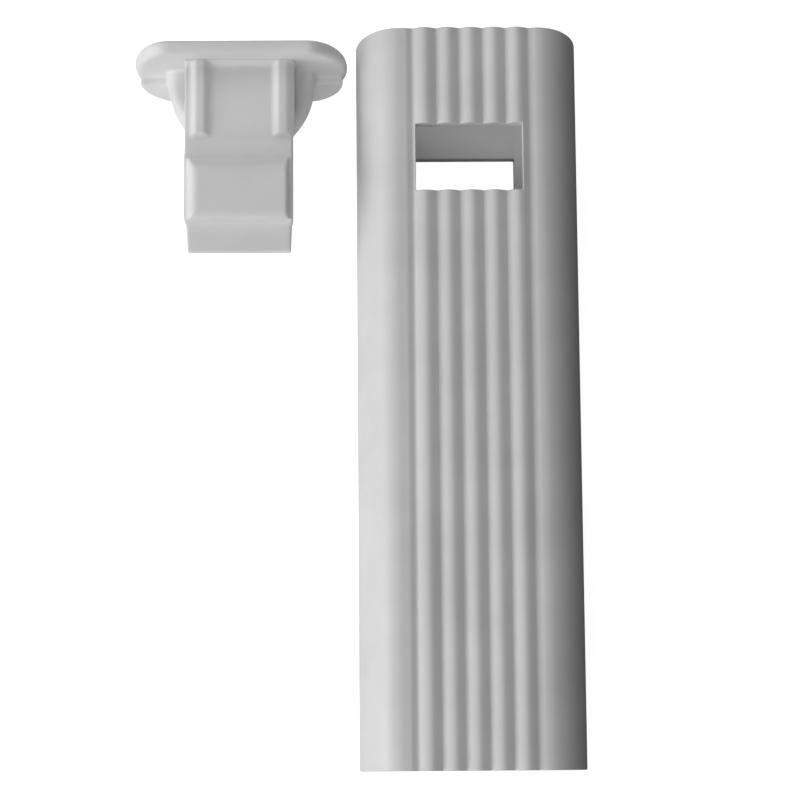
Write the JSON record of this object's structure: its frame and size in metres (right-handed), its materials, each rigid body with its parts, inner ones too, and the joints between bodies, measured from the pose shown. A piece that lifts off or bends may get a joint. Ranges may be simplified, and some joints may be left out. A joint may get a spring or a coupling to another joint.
{
  "type": "stair gate latch",
  "caption": "Fluted hollow grip sleeve for a stair gate with a snap-in end cap set aside beside it; sprung tongues latch through the sleeve's windows.",
  "frame": {"origin": "middle of the grip sleeve's flat back, where it lies on a surface", "axes": "+X across the sleeve away from the end cap, +Y along the sleeve towards its windowed end, +Z out of the fluted face"},
  "size_m": [0.0803, 0.131, 0.0287],
  "materials": {
    "white_moulding": "satin moulded white"
  },
  "bodies": {
    "sleeve": {"grip_sleeve": "white_moulding"},
    "cap": {"end_cap": "white_moulding"},
    "front_tongue": {"front_snap_tongue": "white_moulding"},
    "rear_tongue": {"rear_snap_tongue": "white_moulding"}
  },
  "joints": [
    {"name": "cap_withdraw", "type": "slide", "parent": "sleeve", "child": "cap", "axis": [0, 1, 0], "range_m": [0, 0.04]},
    {"name": "front_tongue_flex", "type": "hinge", "parent": "cap", "child": "front_tongue", "pos_m": [-0.04095, 0.06055, 0.0227], "axis": [1, 0, 0], "range_deg": [0, 6], "stiffness_Nm_per_rad": 2},
    {"name": "rear_tongue_flex", "type": "hinge", "parent": "cap", "child": "rear_tongue", "pos_m": [-0.04095, 0.05885, 0.0054], "axis": [-1, 0, 0], "range_deg": [0, 6], "stiffness_Nm_per_rad": 2}
  ]
}
